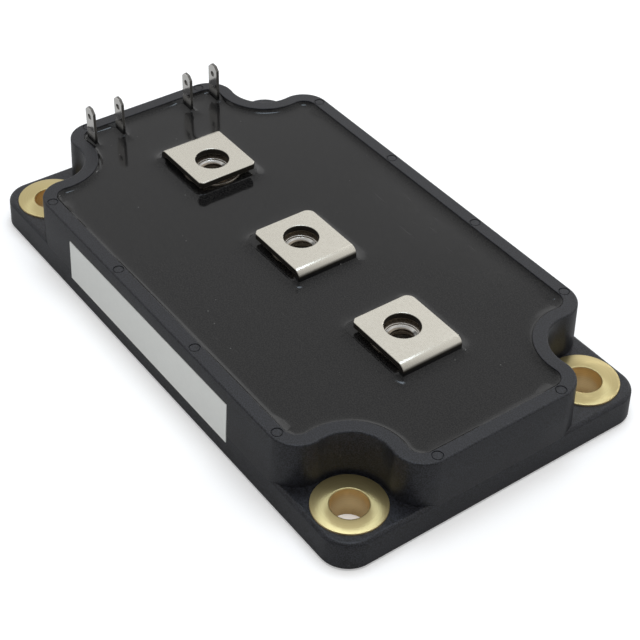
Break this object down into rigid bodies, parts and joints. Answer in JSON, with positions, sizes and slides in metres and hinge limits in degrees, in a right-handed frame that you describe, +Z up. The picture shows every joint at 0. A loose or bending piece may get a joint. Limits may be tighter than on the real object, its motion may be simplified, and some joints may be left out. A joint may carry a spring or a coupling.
{
  "type": "igbt power module",
  "caption": "Low rectangular half-bridge power module with bushed corner ears, folded screw tabs along its middle, signal pins at one end and a flat metal base.",
  "frame": {"origin": "centre of the base plate's lower face", "axes": "+X along the long side with the signal pins at -X, +Y across with the label on the -Y wall, +Z up out of the base plate"},
  "size_m": [0.108, 0.062, 0.0202],
  "materials": {
    "housing_plastic": "moulded black, satin, slightly drawn texture",
    "potting_resin": "black cast resin, satin gloss with a raised edge where it wets the walls",
    "bushing_brass": "turned yellow brass, satin",
    "terminal_nickel": "warm nickel plate on copper, satin",
    "nut_steel": "plated steel, bright",
    "pin_nickel": "nickel plate, satin",
    "plate_nickel": "nickel plate on copper, dull",
    "label_foil": "silver foil, satin, bare",
    "bare_copper": "bare rolled copper",
    "solder": "reflowed solder",
    "tile_ceramic": "white alumina, unglazed",
    "chip_silicon": "metallised silicon",
    "wire_aluminium": "drawn aluminium",
    "soft_gel": "clear soft gel"
  },
  "bodies": {
    "root": {"back_copper_high_side": "bare_copper", "back_copper_low_side": "bare_copper", "base_plate": "plate_nickel", "bridge_wires": "wire_aluminium", "ceramic_tile_high_side": "tile_ceramic", "ceramic_tile_low_side": "tile_ceramic", "copper_tracks_high_side": "bare_copper", "copper_tracks_low_side": "bare_copper", "diode_chips_high_side": "chip_silicon", "diode_chips_low_side": "chip_silicon", "epoxy_cap": "potting_resin", "gate_wires_high_side": "wire_aluminium", "gate_wires_low_side": "wire_aluminium", "gel_fill": "soft_gel", "housing_frame": "housing_plastic", "label": "label_foil", "mounting_bushing_1": "bushing_brass", "mounting_bushing_2": "bushing_brass", "mounting_bushing_3": "bushing_brass", "mounting_bushing_4": "bushing_brass", "power_terminal_1": "terminal_nickel", "power_terminal_2": "terminal_nickel", "power_terminal_3": "terminal_nickel", "power_wires_high_side": "wire_aluminium", "power_wires_low_side": "wire_aluminium", "signal_pin_1": "pin_nickel", "signal_pin_2": "pin_nickel", "signal_pin_3": "pin_nickel", "signal_pin_4": "pin_nickel", "signal_wires": "wire_aluminium", "solder_pads_high_side": "solder", "solder_pads_low_side": "solder", "terminal_nuts": "nut_steel", "tile_solder_high_side": "solder", "tile_solder_low_side": "solder", "transistor_chips_high_side": "chip_silicon", "transistor_chips_low_side": "chip_silicon"}
  },
  "joints": []
}
